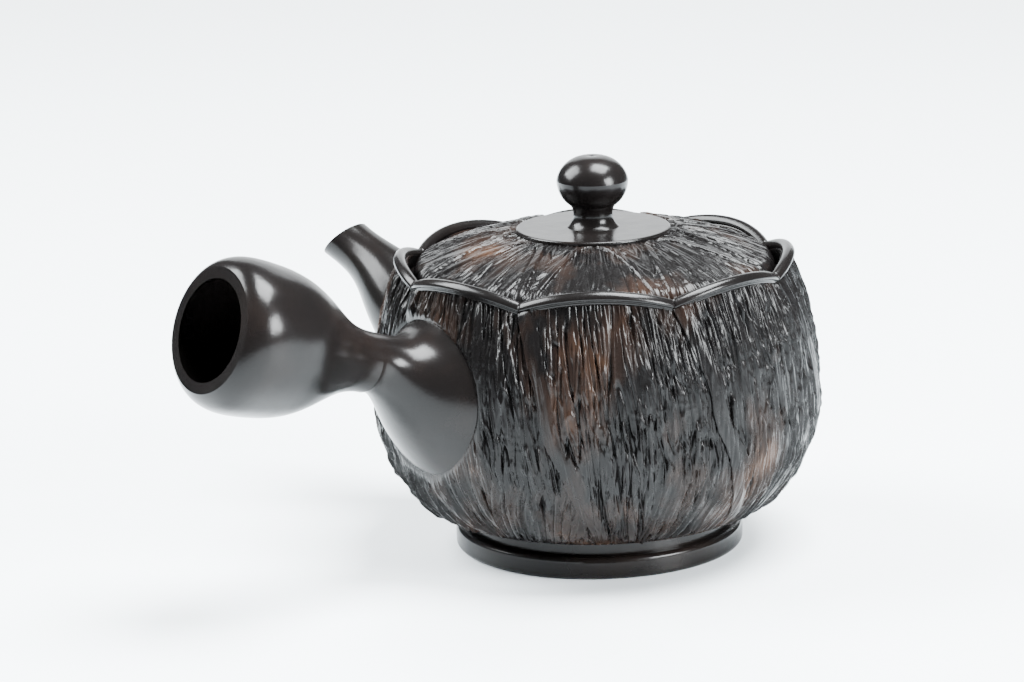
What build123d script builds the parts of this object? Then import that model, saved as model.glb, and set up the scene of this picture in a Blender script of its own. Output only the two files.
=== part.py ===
"""Side-handled clay teapot with a petalled, bark-carved body and a lift-off lid.

Frame: +Z up, origin at the centre of the foot ring on the table. The handle points along -Y
and the spout points near -X. Azimuths are turned about +Z from -Y towards +X.
"""
from build123d import *
import os
from math import asin, cos, degrees, hypot, radians, sin, sqrt

os.makedirs("parts", exist_ok=True)

# ---- Driving dimensions, mm ------------------------------------------------------------
# Body: two tangent arcs that meet at the belly
belly_radius = 55.0
belly_height = 38.5
shoulder_arc = 72.4
base_arc = 33.8
bowl_bottom = 8.6
rim_height = 68.0
bowl_wall = 2.4
floor_thickness = 3.2

# Petal slabs laid over the bowl
petal_count = 8
petal_thickness = 1.6
petal_bottom = 10.2
petal_azimuth = 7.8        # middle of the first petal
petal_swirl = 20.0         # turn of a petal from its top to its bottom
petal_crown = 1.2          # how far a petal's middle stands out at the rim
seam_sink = 0.3            # how far its edges draw in at the rim
petal_lap = 0.8            # skin that is pressed into the bowl and trimmed away

# Rolled lips along the petals' tops
lip_radius = 1.5
notch_inset = 1.0          # the lips' line inside the body's outline at the notches
notch_lift = 1.7           # the same line above the rim
crest_reach = 1.0          # how far the line swings out between notches
crest_rise = 3.4

# Foot ring: a flange under a recessed neck
foot_flange_reach = 2.7    # out from the neck
foot_flange_height = 5.6
foot_ring_wall = 4.2
foot_edge_round = 1.3

# Seat ring inside the mouth, and the lid that rests on it
mouth_radius = 36.0
seat_depth = 1.7           # below the rim
seat_thickness = 2.7
lid_gap = 1.1              # around the lid, inside the rim
flange_gap = 0.6           # around the lid's flange, inside the mouth
flange_wall = 2.8
flange_depth = 6.8
lid_wall = 3.0
lid_shelf = 4.0            # height of the flange's shelf above the seat
lid_edge_width = 3.5
lid_rise = 12.5            # from the seat to the flat under the disc
disc_radius = 19.05
disc_thickness = 1.4
vent_diameter = 2.2
vent_radius = 12.0
vent_azimuth = 232.0

# Knob
knob_radius = 8.85
knob_height = 17.5
knob_neck_radius = 4.85
knob_base_radius = 6.5

# Hollow side handle: a bulb on a straight tilted axis, and a flare down to the body
handle_azimuth = 0.0
handle_tilt = 19.0
neck_reach = 14.4          # out from the belly
neck_rise = 12.7           # from the flare's centre
neck_radius = 7.4
bulb_radius = 18.5
bulb_station = 34.0        # along the handle's axis from its neck
handle_reach = 45.6
handle_mouth_radius = 15.0
handle_wall = 2.7
flare_radius = 20.4
flare_margin = 2.8         # from the rim down to the flare's top edge

# Spout
spout_azimuth = -78.0
spout_wall = 2.0
spout_tip_wall = 1.3
tip_reach = 29.6           # out from the belly
tip_drop = 1.5             # below the rim
tip_tilt = 46.0            # rise of the pouring face's normal
tip_radius = 4.9
spout_root_radius = 16.8

# Ball strainer behind the spout
strainer_radius = 17.0
strainer_wall = 1.6
strainer_drop = 28.0       # its centre below the rim
strainer_hole = 1.5
strainer_rings = ((0, 1), (17, 6), (33, 12), (49, 18), (64, 24))

half_petal = 180 / petal_count
body_inset = petal_thickness + bowl_wall
seat_height = rim_height - seat_depth
lid_top = seat_height + lid_rise


def body_radius(height, inset=0.0):
    """Radius of the body's outline at a height, moved inwards by an inset."""
    arc = shoulder_arc if height > belly_height else base_arc
    return belly_radius - arc + sqrt((arc - inset) ** 2 - (height - belly_height) ** 2)


notch_height = rim_height + notch_lift
notch_radius = body_radius(notch_height) - notch_inset
crest_radius = notch_radius + crest_reach
foot_neck_radius = body_radius(bowl_bottom, petal_thickness)
foot_radius = foot_neck_radius + foot_flange_reach
foot_inner_radius = foot_neck_radius - foot_ring_wall
floor_top = bowl_bottom + floor_thickness
rim_inside = body_radius(rim_height, body_inset)
lid_radius = rim_inside - lid_gap
flange_radius = mouth_radius - flange_gap
neck_distance = belly_radius + neck_reach
tip_distance = belly_radius + tip_reach
tip_height = rim_height - tip_drop
flare_height = rim_height - flare_margin - flare_radius
neck_height = flare_height + neck_rise
strainer_height = rim_height - strainer_drop


def wall_arcs(inset, low, high):
    """The body's outline from low to high, in the line that is being drawn."""
    stops = sorted({low, high, min(max(belly_height, low), high)})
    for start, end in zip(stops, stops[1:]):
        heights = (start, (start + end) / 2, end)
        ThreePointArc(*[(body_radius(z, inset), z) for z in heights])


def outward(azimuth):
    return Vector(sin(radians(azimuth)), -cos(radians(azimuth)), 0)


def upright_plane(azimuth):
    """A plane through the pot's axis: X points outwards at the azimuth, Y points up."""
    direction = outward(azimuth)
    return Plane(origin=(0, 0, 0), x_dir=direction, z_dir=direction.cross(Vector(0, 0, 1)))


def station(azimuth, distance, height, rise):
    """The plane across a tube at a place on its line, where the line rises by an angle."""
    out = outward(azimuth)
    heading = out * cos(radians(rise)) + Vector(0, 0, sin(radians(rise)))
    side = out.cross(Vector(0, 0, 1))
    return Plane(origin=out * distance + Vector(0, 0, height), x_dir=side, z_dir=heading)


def save(piece, name):
    piece.part.label = name
    export_step(piece.part, f"parts/{name}.step")


# ---- Body envelope and the tubes that pass through it ------------------------------------
with BuildPart() as bowl_envelope:
    with BuildSketch(Plane.XZ):
        with BuildLine():
            wall_arcs(petal_thickness, bowl_bottom, rim_height)
            Line((body_radius(rim_height, petal_thickness), rim_height), (0, rim_height))
            Line((0, rim_height), (0, bowl_bottom))
            Line((0, bowl_bottom), (body_radius(bowl_bottom, petal_thickness), bowl_bottom))
        make_face()
    revolve(axis=Axis.Z)

# Spout line: distance out from the belly, drop below the rim, rise and outer radius
spout_stations = (
    (-11.0, 29.5, 8, spout_root_radius + 1.5),
    (-5.0, 27.5, 14, spout_root_radius - 0.5),
    (1.0, 23.2, 26, spout_root_radius - 3.9),
    (8.5, 16.1, 40, 10.9),
    (16.0, 9.6, 37, 8.3),
    (23.0, 5.1, 30, 6.4),
    (tip_reach + 7.0, tip_drop - 3.8, 27, tip_radius),
)

spout_tubes = []
for root_inset, tip_inset in ((0, 0), (spout_wall, spout_tip_wall)):
    with BuildPart() as spout_tube:
        for index, (reach, drop, rise, radius) in enumerate(spout_stations):
            inset = root_inset + (tip_inset - root_inset) * index / (len(spout_stations) - 1)
            with BuildSketch(station(spout_azimuth, belly_radius + reach, rim_height - drop, rise)):
                Circle(radius - inset)
        loft()
    spout_tubes.append(spout_tube.part)
spout_outside, spout_channel = spout_tubes

# Handle flare: distance out from the belly, height over the flare's centre, rise and radius
flare_stations = (
    (-9.0, -0.4, 0, flare_radius + 1.2),
    (-4.5, 0.3, 2, flare_radius - 0.8),
    (1.0, 3.2, 8, flare_radius - 5.6),
    (6.5, 7.8, 15, 9.8),
    (neck_reach - 3.6, neck_rise - 1.4, handle_tilt, neck_radius + 0.1),
    (neck_reach, neck_rise, handle_tilt, neck_radius),
)
handle_heading = outward(handle_azimuth) * cos(radians(handle_tilt))
handle_heading += Vector(0, 0, sin(radians(handle_tilt)))
handle_plane = Plane(
    origin=outward(handle_azimuth) * neck_distance + Vector(0, 0, neck_height),
    x_dir=handle_heading,
    z_dir=upright_plane(handle_azimuth).z_dir,
)
handle_axis = Axis(handle_plane.origin, handle_heading)

with BuildPart() as handle_outside:
    for reach, lift, rise, radius in flare_stations:
        with BuildSketch(station(handle_azimuth, belly_radius + reach, flare_height + lift, rise)):
            Circle(radius)
    loft()
    with BuildSketch(handle_plane):
        with BuildLine():
            Spline(
                (0, neck_radius),
                (bulb_station * 0.40, (neck_radius + bulb_radius) / 2 - 1.0),
                (bulb_station * 0.65, bulb_radius - 2.2),
                (bulb_station, bulb_radius),
                (handle_reach, handle_mouth_radius),
                tangents=((1, 0), (0.62, -1)),
            )
            Polyline((handle_reach, handle_mouth_radius), (handle_reach, 0), (0, 0), (0, neck_radius))
        make_face()
    revolve(axis=handle_axis)

# ---- Bowl --------------------------------------------------------------------------------
with BuildPart() as bowl:
    add(bowl_envelope.part)
    with BuildSketch(Plane.XZ):
        with BuildLine():
            wall_arcs(body_inset, floor_top, rim_height)
            Polyline((rim_inside, rim_height), (rim_inside, rim_height + 1), (0, rim_height + 1),
                     (0, floor_top), (body_radius(floor_top, body_inset), floor_top))
        make_face()
    revolve(axis=Axis.Z, mode=Mode.SUBTRACT)
    add(spout_channel, mode=Mode.SUBTRACT)
save(bowl, "bowl")

# ---- Foot ring ---------------------------------------------------------------------------
with BuildPart() as foot_ring:
    with BuildSketch(Plane.XZ):
        with BuildLine():
            Polyline((foot_inner_radius, 0), (foot_radius, 0), (foot_radius, foot_flange_height),
                     (foot_neck_radius, foot_flange_height), (foot_neck_radius, bowl_bottom),
                     (foot_inner_radius, bowl_bottom), close=True)
        make_face()
    revolve(axis=Axis.Z)
    flange_edges = foot_ring.edges().filter_by(GeomType.CIRCLE)
    fillet(flange_edges.filter_by(lambda e: abs(e.radius - foot_radius) < 0.01), foot_edge_round)
save(foot_ring, "foot_ring")

# ---- Rolled lips -------------------------------------------------------------------------
notch_chord = notch_radius * cos(radians(half_petal))
lip_half_span = notch_radius * sin(radians(half_petal))
lip_sagitta = hypot(crest_radius - notch_chord, crest_rise)
lip_bend = (lip_half_span**2 + lip_sagitta**2) / (2 * lip_sagitta)
lip_slope = degrees(asin(crest_rise / lip_sagitta))


def lip_plane(azimuth):
    """The tilted plane of one lip's arc: X along the rim, Y outwards and up, normal down."""
    out = outward(azimuth)
    along = Vector(0, 0, 1).cross(out)
    up_out = out * cos(radians(lip_slope)) + Vector(0, 0, sin(radians(lip_slope)))
    origin = out * notch_chord + Vector(0, 0, notch_height)
    return Plane(origin=origin, x_dir=along, z_dir=along.cross(up_out))


def between_notches(azimuth):
    """Trims the part being made at the two upright planes through a petal's notches."""
    for side in (-1, 1):
        edge = outward(azimuth + side * half_petal)
        split(bisect_by=Plane(origin=(0, 0, 0), z_dir=Vector(0, 0, side).cross(edge)), keep=Keep.BOTTOM)


with BuildPart() as first_lip:
    end_turn = degrees(asin(lip_half_span / lip_bend)) + 6
    with BuildLine(lip_plane(petal_azimuth)):
        lip_line = CenterArc((0, lip_sagitta - lip_bend), lip_bend, 90 - end_turn, 2 * end_turn)
    with BuildSketch(Plane(origin=lip_line @ 0, z_dir=lip_line % 0)):
        Circle(lip_radius)
    sweep()
    between_notches(petal_azimuth)

# ---- Petals ------------------------------------------------------------------------------
petal_top = notch_height + crest_rise + lip_radius
steps = 3
petal_stations = [petal_bottom + (belly_height - petal_bottom) * k / steps for k in range(steps)]
petal_stations += [belly_height + (rim_height - belly_height) * k / steps for k in range(steps + 1)]
petal_stations.append(petal_top)


def polar(radius, azimuth):
    point = outward(azimuth) * radius
    return (point.X, point.Y)


def swirl(height):
    """How far a petal has turned at a height, measured from its top."""
    return petal_swirl * (rim_height - height) / (rim_height - petal_bottom)


with BuildPart() as first_petal:
    for height in petal_stations:
        scallop = max(0.0, (height - belly_height) / (rim_height - belly_height)) ** 1.5
        middle = petal_azimuth + swirl(height)
        low, high = middle - half_petal, middle + half_petal
        outer = body_radius(height)
        edge = outer - seam_sink * scallop
        inner = body_radius(height, petal_thickness + petal_lap)
        with BuildSketch(Plane.XY.offset(height)):
            with BuildLine():
                crown = outer + petal_crown * scallop
                ThreePointArc(polar(edge, low), polar(crown, middle), polar(edge, high))
                Line(polar(edge, high), polar(inner, high))
                ThreePointArc(polar(inner, high), polar(inner, middle), polar(inner, low))
                Line(polar(inner, low), polar(edge, low))
            make_face()
    loft()
    split(bisect_by=lip_plane(petal_azimuth), keep=Keep.TOP)
    add(bowl_envelope.part, mode=Mode.SUBTRACT)

for number in range(petal_count):
    turn = number * 2 * half_petal
    with BuildPart() as lip:
        add(first_lip.part.rotate(Axis.Z, turn))
    save(lip, f"lip_{number + 1}")

    with BuildPart() as petal:
        add(first_petal.part.rotate(Axis.Z, turn))
        for neighbour in (-1, 0, 1):
            add(first_lip.part.rotate(Axis.Z, turn + neighbour * 2 * half_petal), mode=Mode.SUBTRACT)
        add(handle_outside.part, mode=Mode.SUBTRACT)
        add(spout_outside, mode=Mode.SUBTRACT)
    save(petal, f"petal_{number + 1}")

# ---- Handle ------------------------------------------------------------------------------
with BuildPart() as handle:
    add(handle_outside.part)
    with BuildSketch(handle_plane):
        with BuildLine():
            Spline(
                (2, neck_radius - handle_wall - 0.6),
                (bulb_station * 0.43, (neck_radius + bulb_radius) / 2 - handle_wall - 1.0),
                (bulb_station * 0.66, bulb_radius - handle_wall - 2.2),
                (bulb_station, bulb_radius - handle_wall),
                (handle_reach, handle_mouth_radius - handle_wall),
                tangents=((1, 0), (0.62, -1)),
            )
            Polyline((handle_reach, handle_mouth_radius - handle_wall), (handle_reach, 0), (2, 0),
                     (2, neck_radius - handle_wall - 0.6))
        make_face()
    revolve(axis=handle_axis, mode=Mode.SUBTRACT)
    add(bowl_envelope.part, mode=Mode.SUBTRACT)
save(handle, "handle")

# ---- Spout -------------------------------------------------------------------------------
with BuildPart() as spout:
    add(spout_outside)
    add(spout_channel, mode=Mode.SUBTRACT)
    add(bowl_envelope.part, mode=Mode.SUBTRACT)
    split(bisect_by=station(spout_azimuth, tip_distance, tip_height, tip_tilt), keep=Keep.BOTTOM)
save(spout, "spout")

# ---- Ball strainer: a pierced dome over the spout's opening, inside the bowl ---------------
strainer_centre = body_radius(strainer_height, body_inset)
strainer_origin = outward(spout_azimuth) * strainer_centre + Vector(0, 0, strainer_height)
inward_plane = Plane(origin=strainer_origin, z_dir=-outward(spout_azimuth))

with BuildPart() as bowl_inside:
    with BuildSketch(Plane.XZ):
        with BuildLine():
            wall_arcs(body_inset, floor_top, rim_height)
            Polyline((rim_inside, rim_height), (0, rim_height), (0, floor_top),
                     (body_radius(floor_top, body_inset), floor_top))
        make_face()
    revolve(axis=Axis.Z)

with BuildPart() as strainer:
    with Locations(strainer_origin):
        Sphere(strainer_radius)
        Sphere(strainer_radius - strainer_wall, mode=Mode.SUBTRACT)
    add(bowl_inside.part, mode=Mode.INTERSECT)
    for tilt, count in strainer_rings:
        for index in range(count):
            spin = 360 * index / count
            hole_plane = inward_plane.rotated((0, tilt, spin), ordering=Extrinsic.XYZ)
            with BuildSketch(hole_plane.offset(strainer_radius - 2 * strainer_wall)):
                Circle(strainer_hole / 2)
            extrude(amount=4 * strainer_wall, mode=Mode.SUBTRACT)
save(strainer, "strainer")

# ---- Seat ring -----------------------------------------------------------------------------
with BuildPart() as seat_ring:
    with BuildSketch(Plane.XZ):
        with BuildLine():
            seat_low = seat_height - seat_thickness
            wall_arcs(body_inset, seat_low, seat_height)
            Polyline((body_radius(seat_height, body_inset), seat_height), (mouth_radius, seat_height),
                     (mouth_radius, seat_low), (body_radius(seat_low, body_inset), seat_low))
        make_face()
    revolve(axis=Axis.Z)
save(seat_ring, "seat_ring")

# ---- Lid -----------------------------------------------------------------------------------
shelf_height = seat_height + lid_shelf
lid_foot_outer = lid_radius - 0.9
lid_foot_inner = lid_foot_outer - lid_edge_width
shoulder_radius = lid_radius - 2.5
shoulder_height = seat_height + 6.3
vent_place = outward(vent_azimuth) * vent_radius

with BuildPart() as lid_dome:
    with BuildSketch(Plane.XZ):
        with BuildLine():
            Line((0, lid_top), (disc_radius, lid_top))
            ThreePointArc((disc_radius, lid_top), (disc_radius * 0.4 + shoulder_radius * 0.6,
                          lid_top * 0.53 + shoulder_height * 0.47), (shoulder_radius, shoulder_height))
            ThreePointArc((shoulder_radius, shoulder_height), (lid_radius, seat_height + 4.2),
                          (lid_foot_outer, seat_height))
            Polyline((lid_foot_outer, seat_height), (lid_foot_inner, seat_height),
                     (lid_foot_inner, shelf_height), (flange_radius - flange_wall, shelf_height),
                     (disc_radius, lid_top - lid_wall), (0, lid_top - lid_wall), (0, lid_top))
        make_face()
    revolve(axis=Axis.Z)
    with Locations((vent_place.X, vent_place.Y, lid_top)):
        Hole(vent_diameter / 2)
save(lid_dome, "lid_dome")

with BuildPart() as lid_flange:
    with BuildSketch(Plane.XY.offset(seat_height - flange_depth)):
        Circle(flange_radius)
        Circle(flange_radius - flange_wall, mode=Mode.SUBTRACT)
    extrude(amount=flange_depth + lid_shelf)
save(lid_flange, "lid_flange")

with BuildPart() as lid_disc:
    with BuildSketch(Plane.XY.offset(lid_top)):
        Circle(disc_radius)
    extrude(amount=disc_thickness)
    fillet(lid_disc.edges().group_by(Axis.Z)[-1], disc_thickness * 0.4)
    with Locations((vent_place.X, vent_place.Y, lid_top + disc_thickness)):
        Hole(vent_diameter / 2)
save(lid_disc, "lid_disc")

knob_base = lid_top + disc_thickness
knob_top = knob_base + knob_height
knob_middle = knob_top - 0.33 * knob_height
with BuildPart() as knob:
    with BuildSketch(Plane.XZ):
        with BuildLine():
            ThreePointArc((0, knob_top), (knob_radius * 0.7, knob_top - 1.4), (knob_radius, knob_middle))
            under_cap = (knob_neck_radius + 0.7, knob_middle - 6.3)
            ThreePointArc((knob_radius, knob_middle), (knob_radius * 0.9, knob_middle - 3.6), under_cap)
            ThreePointArc(under_cap, (knob_neck_radius, knob_middle - 8.2), (knob_base_radius, knob_base))
            Polyline((knob_base_radius, knob_base), (0, knob_base), (0, knob_top))
        make_face()
    revolve(axis=Axis.Z)
save(knob, "knob")
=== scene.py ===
"""Looks of the side-handled clay teapot: carved petals, burnished smooth parts, studio."""

import math

import bpy
import numpy as np
from mathutils import Matrix, Vector
from mathutils.bvhtree import BVHTree


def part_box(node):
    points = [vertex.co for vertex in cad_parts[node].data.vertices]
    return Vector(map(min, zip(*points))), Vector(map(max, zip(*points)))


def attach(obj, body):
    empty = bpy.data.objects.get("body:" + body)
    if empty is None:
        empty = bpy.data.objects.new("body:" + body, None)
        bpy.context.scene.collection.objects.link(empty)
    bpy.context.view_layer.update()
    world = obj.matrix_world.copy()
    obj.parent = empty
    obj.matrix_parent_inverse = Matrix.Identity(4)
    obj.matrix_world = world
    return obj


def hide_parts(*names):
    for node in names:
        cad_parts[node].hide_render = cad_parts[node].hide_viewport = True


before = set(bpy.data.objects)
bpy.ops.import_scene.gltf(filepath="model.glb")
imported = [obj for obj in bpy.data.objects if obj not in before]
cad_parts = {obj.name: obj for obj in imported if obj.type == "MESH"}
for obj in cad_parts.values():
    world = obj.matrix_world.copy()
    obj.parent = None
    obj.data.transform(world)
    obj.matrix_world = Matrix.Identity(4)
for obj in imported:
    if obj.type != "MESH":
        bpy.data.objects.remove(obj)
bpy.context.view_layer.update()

MM = 0.001
SEED = 7

# ---- The body's outline, mm: the same values as the CAD model ---------------------------
BELLY_RADIUS, BELLY_HEIGHT = 55.0, 38.5
SHOULDER_ARC, BASE_ARC = 72.4, 33.8
RIM_HEIGHT = 68.0
PETAL_BOTTOM = 10.2
PETAL_AZIMUTH, PETAL_SWIRL = 7.8, 20.0
PETAL_CROWN, SEAM_SINK = 1.2, 0.3
PETAL_COUNT = 8
HALF_PETAL = 180 / PETAL_COUNT
LIP_RADIUS = 1.5
NOTCH_RADIUS, NOTCH_HEIGHT = 46.93, 69.7
CREST_RADIUS, CREST_RISE = 47.93, 3.4
PETAL_DEPTH = 1.9           # from a petal's face to its back, sunk a little into the bowl
TUBE_AZIMUTHS = {"handle": 0.0, "spout": -78.0}

# ---- Noise --------------------------------------------------------------------------------


class Noise:
    """Smooth 2-D gradient noise from a seeded table, about -0.7 to 0.7."""

    def __init__(self, seed):
        random = np.random.default_rng(seed)
        self.table = random.permutation(256)
        angle = random.uniform(0, 2 * math.pi, 256)
        self.slopes = np.stack([np.cos(angle), np.sin(angle)], -1)

    def corner(self, ix, iy, dx, dy):
        slope = self.slopes[self.table[(self.table[ix & 255] + iy) & 255]]
        return slope[..., 0] * dx + slope[..., 1] * dy

    def __call__(self, x, y):
        x, y = np.broadcast_arrays(x, y)
        ix, iy = np.floor(x).astype(int), np.floor(y).astype(int)
        fx, fy = x - ix, y - iy
        ex = fx**3 * (fx * (fx * 6 - 15) + 10)
        ey = fy**3 * (fy * (fy * 6 - 15) + 10)
        low, high = (
            self.corner(ix, iy + k, fx, fy - k) * (1 - ex) + self.corner(ix + 1, iy + k, fx - 1, fy - k) * ex
            for k in (0, 1)
        )
        return (low * (1 - ey) + high * ey) * 1.4


def smoothstep(low, high, value):
    t = np.clip((value - low) / (high - low), 0, 1)
    return t * t * (3 - 2 * t)


def bark(across, along, seed):
    """Relief of carved bark strokes, mm: across and along are distances over the surface, mm.

    Plate edges are steps, ridges and cuts follow the zero lines of stretched noise, and calm
    stretches are worn smooth. The divisors are the strokes' spacing and length, mm.
    """
    wide, plates, slits, hair = (Noise(SEED + seed * 11 + k) for k in range(4))
    sway = across + 0.6 * wide(across / 11, along / 24) + 0.15 * wide(across / 3 + 9, along / 8)
    broad = plates(sway / 2.4, along / 36)
    levels = 0.36 * smoothstep(-0.01, 0.04, broad)
    levels = levels + 0.18 * smoothstep(0.16, 0.22, plates(sway / 1.5 + 90, along / 14))
    ridges = np.exp(-((plates(sway / 2.1 + 50, along / 24 + 3) / 0.10) ** 2))
    short = np.exp(-((slits(sway / 1.5 + 20, along / 11) / 0.11) ** 2))
    cut = np.exp(-((slits(sway / 2.5, along / 30) / 0.065) ** 2))
    fine_cut = np.exp(-((hair(sway / 1.4 + 40, along / 16 + 7) / 0.080) ** 2))
    calm = smoothstep(0.08, 0.38, wide(across / 8 + 30, along / 14 + 5))
    patchy = smoothstep(-0.15, 0.20, wide(across / 5 + 70, along / 9))
    stairs = hair(sway / 2.4 + 80, along / 1.1) * smoothstep(0.24, 0.42, wide(across / 4 + 60, along / 9))
    relief = levels + 0.44 * ridges * (1 - 0.6 * calm) + 0.26 * short * patchy
    relief = relief - 0.50 * cut - 0.26 * fine_cut * (1 - 0.9 * calm) + 0.10 * stairs
    return relief * (1 - 0.35 * calm) - 0.12


# ---- Mesh helpers ---------------------------------------------------------------------------


def body_radius(height, inset=0.0):
    arc = np.where(height > BELLY_HEIGHT, SHOULDER_ARC, BASE_ARC)
    return BELLY_RADIUS - arc + np.sqrt((arc - inset) ** 2 - (height - BELLY_HEIGHT) ** 2)


def place(radius, azimuth, height):
    """Points, mm, from radius, azimuth in degrees (-Y is 0, +X is 90) and height."""
    turn = np.radians(azimuth)
    return np.stack(np.broadcast_arrays(radius * np.sin(turn), -radius * np.cos(turn), height), -1)


def grid_normals(points):
    """Outward unit normals of a grid of points whose columns go round and rows go up."""
    up = np.gradient(points, axis=0)
    round_ = np.gradient(points, axis=1)
    normal = np.cross(round_, up)
    return normal / np.linalg.norm(normal, axis=-1, keepdims=True)


def make_object(name, verts, faces, relief=None):
    """A smooth-shaded mesh object, from points in mm and the corners of its faces."""
    mesh = bpy.data.meshes.new(name)
    mesh.from_pydata((verts * MM).tolist(), [], faces if isinstance(faces, list) else faces.tolist())
    mesh.update()
    mesh.shade_smooth()
    if relief is not None:
        layer = mesh.attributes.new("relief", "FLOAT", "POINT")
        layer.data.foreach_set("value", np.asarray(relief, dtype=np.float32))
    piece = bpy.data.objects.new(name, mesh)
    bpy.context.scene.collection.objects.link(piece)
    return piece


def slab(name, front, back, relief):
    """A closed slab between two grids of the same shape, with the carved relief as an attribute."""
    rows, cols = front.shape[:2]
    offset = rows * cols
    index = np.arange(offset).reshape(rows, cols)
    a, b, c, d = index[:-1, :-1], index[:-1, 1:], index[1:, 1:], index[1:, :-1]
    faces = [np.stack([a, b, c, d], -1).reshape(-1, 4), np.stack([d, c, b, a], -1).reshape(-1, 4) + offset]
    for p, q in ((a[0], b[0]), (b[:, -1], c[:, -1]), (c[-1], d[-1]), (d[:, 0], a[:, 0])):
        faces.append(np.stack([q, p, p + offset, q + offset], -1))
    verts = np.concatenate([front.reshape(-1, 3), back.reshape(-1, 3)])
    return make_object(name, verts, np.concatenate(faces), np.tile(relief.ravel(), 2))


# ---- Materials ------------------------------------------------------------------------------


def new_material(name):
    material = bpy.data.materials.new(name)
    material.use_nodes = True
    tree = material.node_tree
    return material, tree, tree.nodes["Principled BSDF"]


def noise_node(tree, scale, detail=4.0, roughness=0.55, stretch=(1, 1, 1)):
    """A noise texture in object space, metres, stretched along chosen axes."""
    place_node = tree.nodes.new("ShaderNodeTexCoord")
    mapping = tree.nodes.new("ShaderNodeMapping")
    mapping.inputs["Scale"].default_value = stretch
    noise = tree.nodes.new("ShaderNodeTexNoise")
    noise.inputs["Scale"].default_value = scale
    noise.inputs["Detail"].default_value = detail
    noise.inputs["Roughness"].default_value = roughness
    tree.links.new(place_node.outputs["Object"], mapping.inputs["Vector"])
    tree.links.new(mapping.outputs["Vector"], noise.inputs["Vector"])
    return noise


def ramp_node(tree, source, stops):
    """Maps a value to colours; stops are (position, (r, g, b))."""
    ramp = tree.nodes.new("ShaderNodeValToRGB")
    while len(ramp.color_ramp.elements) < len(stops):
        ramp.color_ramp.elements.new(0.5)
    for element, (position, colour) in zip(ramp.color_ramp.elements, stops):
        element.position = position
        element.color = (*colour, 1)
    tree.links.new(source, ramp.inputs["Fac"])
    return ramp


def range_node(tree, source, low, high):
    node = tree.nodes.new("ShaderNodeMapRange")
    node.inputs["To Min"].default_value = low
    node.inputs["To Max"].default_value = high
    tree.links.new(source, node.inputs["Value"])
    return node


def bump_node(tree, source, strength, distance):
    bump = tree.nodes.new("ShaderNodeBump")
    bump.inputs["Strength"].default_value = strength
    bump.inputs["Distance"].default_value = distance
    tree.links.new(source, bump.inputs["Height"])
    return bump


def burnished_clay():
    """Smooth dark clay, rubbed to a satin shine, with fine grain and faint clouding."""
    material, tree, shader = new_material("burnished_clay")
    clouds = noise_node(tree, 45.0)
    colour = ramp_node(tree, clouds.outputs["Fac"], (
        (0.30, (0.0030, 0.0027, 0.0027)),
        (0.55, (0.0046, 0.0038, 0.0036)),
        (0.78, (0.0080, 0.0056, 0.0048)),
    ))
    tree.links.new(colour.outputs["Color"], shader.inputs["Base Color"])
    rub = noise_node(tree, 160.0, detail=3.0)
    rough = range_node(tree, rub.outputs["Fac"], 0.16, 0.27)
    tree.links.new(rough.outputs["Result"], shader.inputs["Roughness"])
    grain = noise_node(tree, 1500.0, detail=3.0, roughness=0.6)
    fine = bump_node(tree, grain.outputs["Fac"], 0.10, 0.0002)
    waves = noise_node(tree, 70.0, detail=2.0)
    broad = bump_node(tree, waves.outputs["Fac"], 0.12, 0.0015)
    tree.links.new(fine.outputs["Normal"], broad.inputs["Normal"])
    tree.links.new(broad.outputs["Normal"], shader.inputs["Normal"])
    shader.inputs["Specular IOR Level"].default_value = 0.16
    return material


def carved_clay():
    """Carved clay: painted shade turns it black in the cuts, following the carved relief; mottled reddish
    brown on the plates, worn shiny on the ridges.
    """
    material, tree, shader = new_material("carved_clay")
    nodes, links = tree.nodes, tree.links
    patches = noise_node(tree, 44.0, detail=3.0, roughness=0.6, stretch=(1, 1, 0.6))
    brown = ramp_node(tree, patches.outputs["Fac"], (
        (0.50, (0.0032, 0.0028, 0.0028)),
        (0.62, (0.0120, 0.0070, 0.0052)),
        (0.78, (0.0500, 0.0250, 0.0140)),
    ))
    # Painted shade: the carved relief darkens the clay to near black in the cuts, where shade would fall,
    # and leaves the brown on the raised plates.
    relief = nodes.new("ShaderNodeAttribute")
    relief.attribute_name = "relief"
    depth = nodes.new("ShaderNodeMapRange")
    depth.inputs["From Min"].default_value = -0.55
    depth.inputs["From Max"].default_value = 0.05
    links.new(relief.outputs["Fac"], depth.inputs["Value"])
    painted_cut_shade = nodes.new("ShaderNodeMix")
    painted_cut_shade.data_type = "RGBA"
    painted_cut_shade.inputs["A"].default_value = (0.002, 0.0018, 0.0018, 1)
    links.new(depth.outputs["Result"], painted_cut_shade.inputs["Factor"])
    links.new(brown.outputs["Color"], painted_cut_shade.inputs["B"])
    links.new(painted_cut_shade.outputs["Result"], shader.inputs["Base Color"])
    rub = noise_node(tree, 420.0, detail=4.0)
    rough = range_node(tree, rub.outputs["Fac"], 0.19, 0.33)
    links.new(rough.outputs["Result"], shader.inputs["Roughness"])
    grain = noise_node(tree, 1100.0, detail=4.0, roughness=0.65, stretch=(1, 1, 0.35))
    bump = bump_node(tree, grain.outputs["Fac"], 0.16, 0.0002)
    links.new(bump.outputs["Normal"], shader.inputs["Normal"])
    shader.inputs["Specular IOR Level"].default_value = 0.14
    return material


BURNISHED = burnished_clay()
CARVED = carved_clay()


def dress(piece, material):
    piece.data.materials.clear()
    piece.data.materials.append(material)


# ---- Petals on the body -----------------------------------------------------------------------


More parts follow.
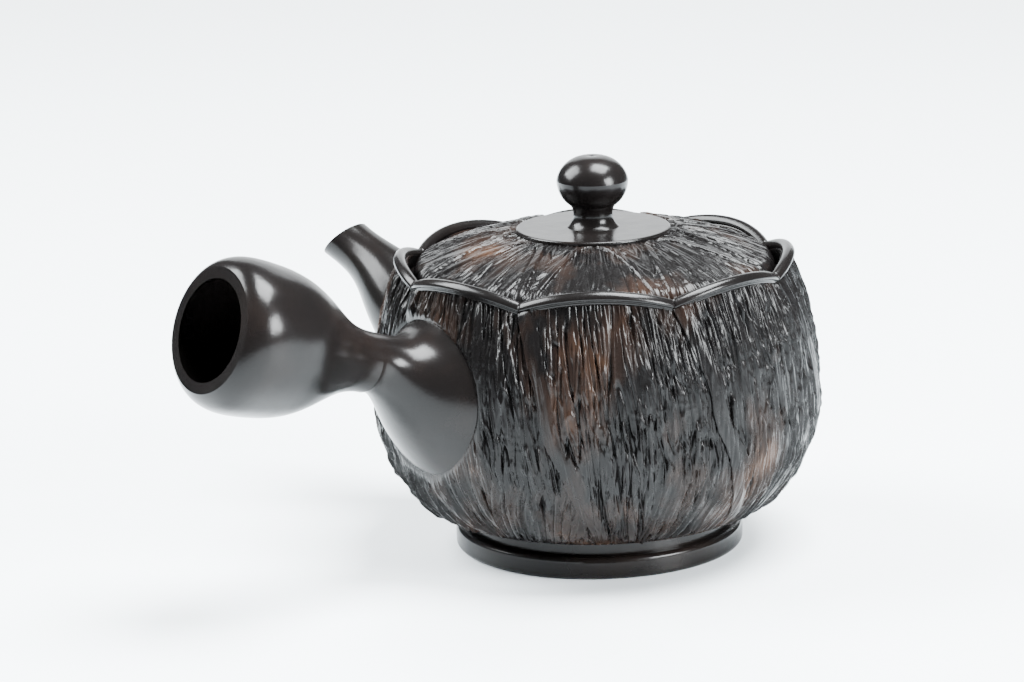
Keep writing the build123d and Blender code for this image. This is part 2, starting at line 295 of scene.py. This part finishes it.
def lip_line(turn):
    """Radius, azimuth offset and height of a lip's centre line; turn runs -1 to 1 along it."""
    chord = NOTCH_RADIUS * math.cos(math.radians(HALF_PETAL))
    half_span = NOTCH_RADIUS * math.sin(math.radians(HALF_PETAL))
    sagitta = math.hypot(CREST_RADIUS - chord, CREST_RISE)
    bend = (half_span**2 + sagitta**2) / (2 * sagitta)
    angle = turn * math.asin(half_span / bend)
    across = bend * np.sin(angle)
    out = bend * np.cos(angle) - (bend - sagitta)
    radius = np.hypot(chord + out * (CREST_RADIUS - chord) / sagitta, across)
    azimuth = np.degrees(np.arctan2(across, chord + out * (CREST_RADIUS - chord) / sagitta))
    return radius, azimuth, NOTCH_HEIGHT + out * CREST_RISE / sagitta


def distance_to(node_name, points):
    """Distance, mm, from each point to a CAD node's surface."""
    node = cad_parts[node_name]
    mesh = node.data
    verts = [vertex.co / MM for vertex in mesh.vertices]
    tree = BVHTree.FromPolygons(verts, [tuple(face.vertices) for face in mesh.polygons])
    far = 12.0
    found = (tree.find_nearest(Vector(point), far)[3] for point in points.reshape(-1, 3))
    return np.array([far if gap is None else gap for gap in found]).reshape(points.shape[:2])


def petal(number):
    """One carved petal: its left edge lies over the neighbour and its right edge goes under."""
    rows, cols = 160, 270
    middle = PETAL_AZIMUTH + number * 2 * HALF_PETAL
    u = np.linspace(-1, 1, cols)[None, :]
    v = np.linspace(0, 1, rows)[:, None]
    _, line_azimuth, line_height = lip_line(np.linspace(-1, 1, 81))
    top = np.interp(u * HALF_PETAL, line_azimuth, line_height) + 0.2
    height = PETAL_BOTTOM + (top - PETAL_BOTTOM) * v
    swirl = PETAL_SWIRL * (RIM_HEIGHT - height) / (RIM_HEIGHT - PETAL_BOTTOM)
    wander = 0.9 * np.sin(8.5 * v + 0.6) + 0.45 * np.sin(21 * v)
    azimuth = middle + swirl + u * HALF_PETAL + wander * smoothstep(0, 0.2, 1 - v)
    scallop = np.clip((height - BELLY_HEIGHT) / (RIM_HEIGHT - BELLY_HEIGHT), 0, None) ** 1.5
    radius = body_radius(height) + scallop * (PETAL_CROWN * (1 - u**2) - SEAM_SINK * u**2)
    face = place(radius, azimuth, height)
    normal = grid_normals(face)
    across = np.radians(azimuth - middle - 0.30 * PETAL_SWIRL * (1 - v)) * 50
    along = v * 66 + np.zeros_like(u)
    relief = bark(across, along, number)
    fan = (u - (-0.45 + 1.9 * v)) * 19
    fanned = smoothstep(-0.25, 0.10, fan) * smoothstep(0.36, 0.24, v + 0.05 * u)
    relief = relief * (1 - fanned) + fanned * (bark(across - 0.30 * along, along + 30, number) + 0.16)
    stripe = smoothstep(-0.78, -0.84, u)
    relief = relief * (1 - 0.75 * stripe) * (1 + 0.35 * smoothstep(0.6, 0.3, v))
    ends = smoothstep(0, 0.03, v) * smoothstep(0, 0.03, 1 - v)
    lap = 0.45 * smoothstep(-0.55, -0.90, u) - 0.22 * smoothstep(0.80, 1.0, u)
    ridge = 0.34 * np.exp(-(((u + 0.88) / 0.055) ** 2)) - 0.30 * np.exp(-(((u + 0.765) / 0.018) ** 2))
    lift = (relief + (lap + ridge) * smoothstep(0, 0.12, v)) * ends
    for tube in ("handle", "spout"):
        if np.abs((azimuth - TUBE_AZIMUTHS[tube] + 180) % 360 - 180).min() < 30:
            gap = distance_to(tube, face)
            lift = lift * smoothstep(0.3, 2.2, gap) - 0.45 * np.exp(-(((gap - 0.15) / 0.35) ** 2))
    front = face + normal * lift[..., None]
    back = face - normal * PETAL_DEPTH
    piece = slab(f"petal_{number + 1}_carved", front, back, relief * ends)
    dress(piece, CARVED)
    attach(piece, "pot")
    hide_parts(f"petal_{number + 1}")


for number in range(PETAL_COUNT):
    petal(number)

# ---- Rolled lips ---------------------------------------------------------------------------------


def lip(number):
    """A rolled bead along a petal's top, with a groove that parts it from the band below."""
    middle = PETAL_AZIMUTH + number * 2 * HALF_PETAL
    along = np.linspace(-1, 1, 72)
    radius, azimuth, height = lip_line(along)
    turn = np.linspace(0, 2 * math.pi, 56, endpoint=False)
    groove = 0.42 * np.exp(-(((turn - math.radians(338)) / 0.20) ** 2))
    tube = LIP_RADIUS - groove + 0.10 * np.cos(2 * turn) ** 2
    pinch = 1 - 0.10 * np.abs(along[:, None]) ** 6
    out = tube[None, :] * np.cos(turn)[None, :] * pinch
    up = tube[None, :] * np.sin(turn)[None, :] * 1.05
    verts = place(radius[:, None] + out, middle + azimuth[:, None], height[:, None] + up)
    rows, cols = verts.shape[:2]
    index = np.arange(rows * cols).reshape(rows, cols)
    after = np.roll(index, -1, axis=1)
    faces = np.stack([index[:-1], after[:-1], after[1:], index[1:]], -1).reshape(-1, 4)[:, ::-1].tolist()
    faces += [index[0].tolist(), index[-1][::-1].tolist()]
    piece = make_object(f"lip_{number + 1}_rolled", verts.reshape(-1, 3), faces)
    dress(piece, BURNISHED)
    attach(piece, "pot")
    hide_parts(f"lip_{number + 1}")


for number in range(PETAL_COUNT):
    lip(number)

# ---- Carved skin on the lid -------------------------------------------------------------------------
DISC_RADIUS = 19.05
SHOULDER_INSET, SHOULDER_RISE = 2.5, 6.3     # the dome's shoulder, in from its edge, up from the seat
EDGE_RISE, FOOT_INSET = 4.2, 0.9
LEAF_TIP, LEAF_TIP_SHARPNESS = 20.4, 0.20    # radius of the leaves' tips; less is more pointed
SKIN_DEPTH = 0.5                             # how far the skin reaches into the CAD dome


def arc_points(start, middle, end, steps):
    """Points along the circle arc through three points of a plane."""
    (ax, ay), (bx, by), (cx, cy) = start, middle, end
    scale = 2 * (ax * (by - cy) + bx * (cy - ay) + cx * (ay - by))
    a2, b2, c2 = ax**2 + ay**2, bx**2 + by**2, cx**2 + cy**2
    x = (a2 * (by - cy) + b2 * (cy - ay) + c2 * (ay - by)) / scale
    y = (a2 * (cx - bx) + b2 * (ax - cx) + c2 * (bx - ax)) / scale
    first, last = math.atan2(ay - y, ax - x), math.atan2(cy - y, cx - x)
    angle = np.linspace(first, last, steps)
    size = math.hypot(ax - x, ay - y)
    return np.stack([x + size * np.cos(angle), y + size * np.sin(angle)], -1)


def lid_outline():
    """The CAD dome's outer outline from under the disc to its foot: radius and height, mm."""
    (_, _, seat), (rim, _, top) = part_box("lid_dome")
    rim, seat, top = rim / MM, seat / MM, top / MM
    shoulder = (rim - SHOULDER_INSET, seat + SHOULDER_RISE)
    slope = (DISC_RADIUS * 0.4 + shoulder[0] * 0.6, top * 0.53 + shoulder[1] * 0.47)
    upper = arc_points((DISC_RADIUS, top), slope, shoulder, 60)
    edge = arc_points(shoulder, (rim, seat + EDGE_RISE), (rim - FOOT_INSET, seat), 40)
    inner = np.array([[DISC_RADIUS - 1.2, top]])
    return np.vstack([inner, upper, edge[1:-6]])


def lid_skin():
    """Eight carved leaves on the lid, each with a smooth raised border and a pointed tip."""
    rows, leaf_cols = 130, 130
    cols = PETAL_COUNT * leaf_cols
    path = lid_outline()
    step = np.hypot(*np.diff(path, axis=0).T)
    run = np.concatenate([[0], np.cumsum(step)])
    even = np.linspace(0, run[-1], rows)
    radius = np.interp(even, run, path[:, 0])[:, None]
    height = np.interp(even, run, path[:, 1])[:, None]
    azimuth = PETAL_AZIMUTH - HALF_PETAL + np.linspace(0, 360, cols + 1)[None, :]
    face = place(radius, azimuth, height)
    up = np.gradient(np.hstack([radius, height]), axis=0)
    normal = place(-up[:, 1:2], azimuth, up[:, 0:1])
    normal = normal / np.linalg.norm(normal, axis=-1, keepdims=True)
    normal = normal * np.sign(normal[rows // 2, 0, 2])
    leaf = np.minimum(np.arange(cols + 1) // leaf_cols, PETAL_COUNT - 1)[None, :]
    offset = azimuth - PETAL_AZIMUTH - leaf * 2 * HALF_PETAL
    slant = even[:, None] + np.zeros_like(azimuth)
    reach = np.clip((radius - LEAF_TIP) / (path[:, 0].max() - LEAF_TIP), 0, 1) ** LEAF_TIP_SHARPNESS
    inside = (reach * (HALF_PETAL - 1.0) - np.abs(offset)) * np.radians(radius)
    on_leaf = smoothstep(-0.10, 0.12, inside)
    across = np.radians(offset) * (radius * 0.45 + 22)
    leaf_relief = bark(across * 0.85 + leaf * 37.0, slant * 0.7 + leaf * 23.0, 20)
    under_angle = np.radians(HALF_PETAL - np.abs(offset)) * 30
    under_relief = bark(under_angle + slant * 0.45, slant * 0.8 - under_angle, 21)
    band = smoothstep(0.1, 0.5, inside) * smoothstep(2.3, 1.7, inside)
    groove = np.exp(-(((inside - 2.35) / 0.28) ** 2))
    relief = on_leaf * leaf_relief * (1 - 0.75 * band) + (1 - on_leaf) * (0.7 * under_relief - 0.15)
    lift = 0.45 + 0.65 * relief + on_leaf * (0.30 + 0.34 * band - 0.40 * groove)
    ends = smoothstep(0, 0.04, even / run[-1])[:, None] * smoothstep(0, 0.10, 1 - even / run[-1])[:, None]
    lift = 0.05 + (lift - 0.05) * ends
    front = face + normal * lift[..., None]
    back = face - normal * SKIN_DEPTH
    relief = relief * ends
    for number in range(PETAL_COUNT):
        sector = slice(number * leaf_cols, (number + 1) * leaf_cols + 1)
        part = (slice(None, None, -1), sector)
        piece = slab(f"lid_leaf_{number + 1}_carved", front[part], back[part], relief[part])
        dress(piece, CARVED)
        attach(piece, "lid")


lid_skin()

# ---- CAD pieces that keep their shape ----------------------------------------------------------
for name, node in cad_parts.items():
    if name.startswith(("petal_", "lip_")):
        continue
    dress(node, CARVED if name == "lid_dome" else BURNISHED)
    node.data.shade_smooth()

# ---- Studio -------------------------------------------------------------------------------------
FLOOR_HALF = 3.0            # metres
LIGHT_TINT = (0.95, 0.985, 1.0)


def studio():
    """A pale floor and broad soft lights: key at the left, top, side at the right, and back."""
    bpy.ops.mesh.primitive_grid_add(x_subdivisions=60, y_subdivisions=60, size=2 * FLOOR_HALF)
    floor = bpy.context.object
    floor.name = "floor"
    material, tree, shader = new_material("pale_floor")
    shader.inputs["Base Color"].default_value = (0.90, 0.95, 0.98, 1)
    shader.inputs["Roughness"].default_value = 0.45
    dress(floor, material)
    world = bpy.data.worlds.new("studio")
    bpy.context.scene.world = world
    world.use_nodes = True
    background = world.node_tree.nodes["Background"]
    background.inputs["Color"].default_value = (0.86, 0.91, 0.95, 1)
    background.inputs["Strength"].default_value = 0.20
    target = Vector((0, 0, 0.05))
    for name, place_, size, power in (
        ("key", (-0.65, -0.60, 0.85), 0.70, 66.0),
        ("top", (0.25, 0.25, 1.20), 0.70, 115.0),
        ("side", (1.00, 0.35, 0.50), 0.40, 44.0),
        ("back", (-1.05, 0.85, 0.50), 1.10, 12.0),
    ):
        light = bpy.data.lights.new(name, "AREA")
        light.shape = "SQUARE"
        light.size = size
        light.energy = power
        light.color = LIGHT_TINT
        lamp = bpy.data.objects.new(name, light)
        lamp.location = place_
        lamp.visible_camera = False
        lamp.rotation_euler = (target - Vector(place_)).to_track_quat("-Z", "Y").to_euler()
        bpy.context.scene.collection.objects.link(lamp)


# Degrees, metres, degrees and millimetres
CAMERA_AZIMUTH = 52.3
CAMERA_DISTANCE, CAMERA_HEIGHT = 0.9733, 0.2904
CAMERA_YAW, CAMERA_PITCH, CAMERA_ROLL = -1.22, 13.79, -1.46
CAMERA_LENS = 142.0


def camera():
    """The camera looks down a little at the pot, with the handle towards the left."""
    azimuth, yaw = math.radians(CAMERA_AZIMUTH), math.radians(CAMERA_YAW)
    pitch, roll = math.radians(CAMERA_PITCH), math.radians(CAMERA_ROLL)
    right = Vector((math.cos(azimuth), math.sin(azimuth), 0))
    ahead = Vector((-math.sin(azimuth), math.cos(azimuth), 0))
    level = right * math.sin(yaw) + ahead * math.cos(yaw)
    forward = level * math.cos(pitch) - Vector((0, 0, math.sin(pitch)))
    side = right * math.cos(yaw) - ahead * math.sin(yaw)
    up = side.cross(forward)
    side_rolled = side * math.cos(roll) + up * math.sin(roll)
    up_rolled = up * math.cos(roll) - side * math.sin(roll)
    place_ = -ahead * CAMERA_DISTANCE + Vector((0, 0, CAMERA_HEIGHT))
    lens = bpy.data.cameras.new("camera")
    lens.lens = CAMERA_LENS
    lens.clip_start = 0.05
    eye = bpy.data.objects.new("camera", lens)
    turn = Matrix((side_rolled, up_rolled, -forward)).transposed().to_4x4()
    eye.matrix_world = Matrix.Translation(place_) @ turn
    bpy.context.scene.collection.objects.link(eye)
    bpy.context.scene.camera = eye


studio()
camera()
